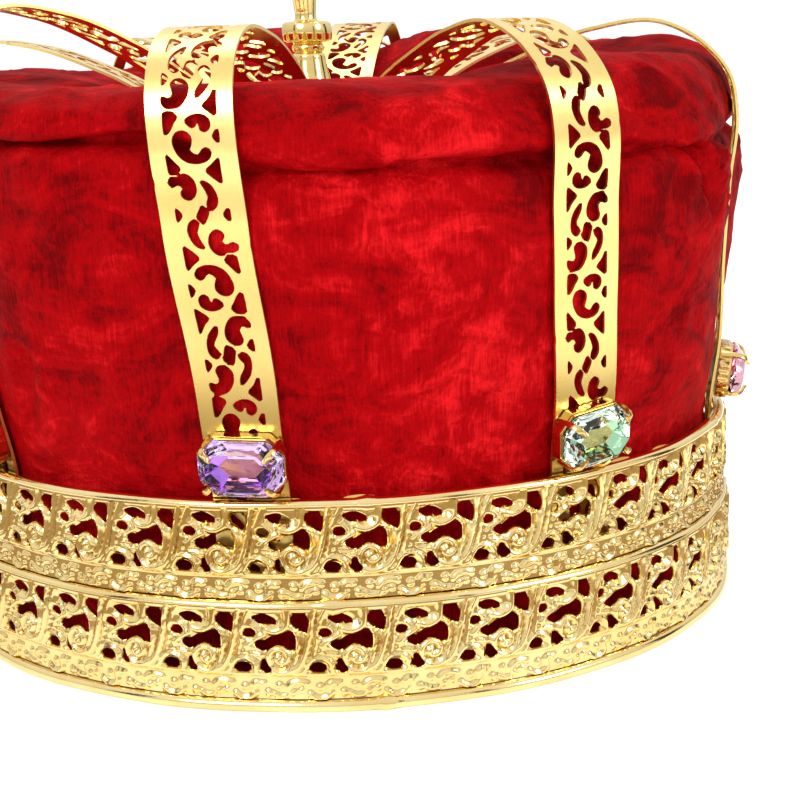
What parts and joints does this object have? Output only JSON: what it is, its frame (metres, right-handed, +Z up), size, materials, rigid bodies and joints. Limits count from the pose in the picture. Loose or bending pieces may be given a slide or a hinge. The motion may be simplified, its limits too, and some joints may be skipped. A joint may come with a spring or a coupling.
{
  "type": "royal crown",
  "caption": "Royal crown with a pierced head band between wire hoops, pierced arches, a puffed velvet cap, pronged stones and a turned finial.",
  "frame": {"origin": "centre of the head band, on the surface that the crown stands on", "axes": "+Z up along the band's axis, the front of the crown faces -Y, +X is to the right seen from the front"},
  "size_m": [0.2073, 0.2054, 0.1597],
  "materials": {
    "hoops": "polished gold-coloured plating",
    "filigree": "pressed and polished gold-coloured plating",
    "arches": "satin gold-coloured plating",
    "settings": "polished gold-coloured plating",
    "finial": "polished gold-coloured plating",
    "velvet": "crushed red velvet",
    "violet_glass": "cut and polished",
    "green_glass": "cut and polished",
    "pink_glass": "cut and polished",
    "orange_glass": "cut and polished"
  },
  "bodies": {
    "root": {"rim_bottom": "hoops", "rim_middle": "hoops", "rim_top": "hoops", "filigree_lower": "filigree", "filigree_upper": "filigree", "arch_strip_1": "arches", "arch_strip_2": "arches", "arch_strip_3": "arches", "arch_strip_4": "arches", "velvet_cap": "velvet", "finial": "finial", "setting_a": "settings", "setting_b": "settings", "setting_c": "settings", "setting_d": "settings", "setting_e": "settings", "setting_f": "settings", "setting_g": "settings", "setting_h": "settings", "stone_a": "violet_glass", "stone_b": "green_glass", "stone_c": "pink_glass", "stone_d": "orange_glass", "stone_e": "pink_glass", "stone_f": "green_glass", "stone_g": "violet_glass", "stone_h": "orange_glass"}
  },
  "joints": []
}
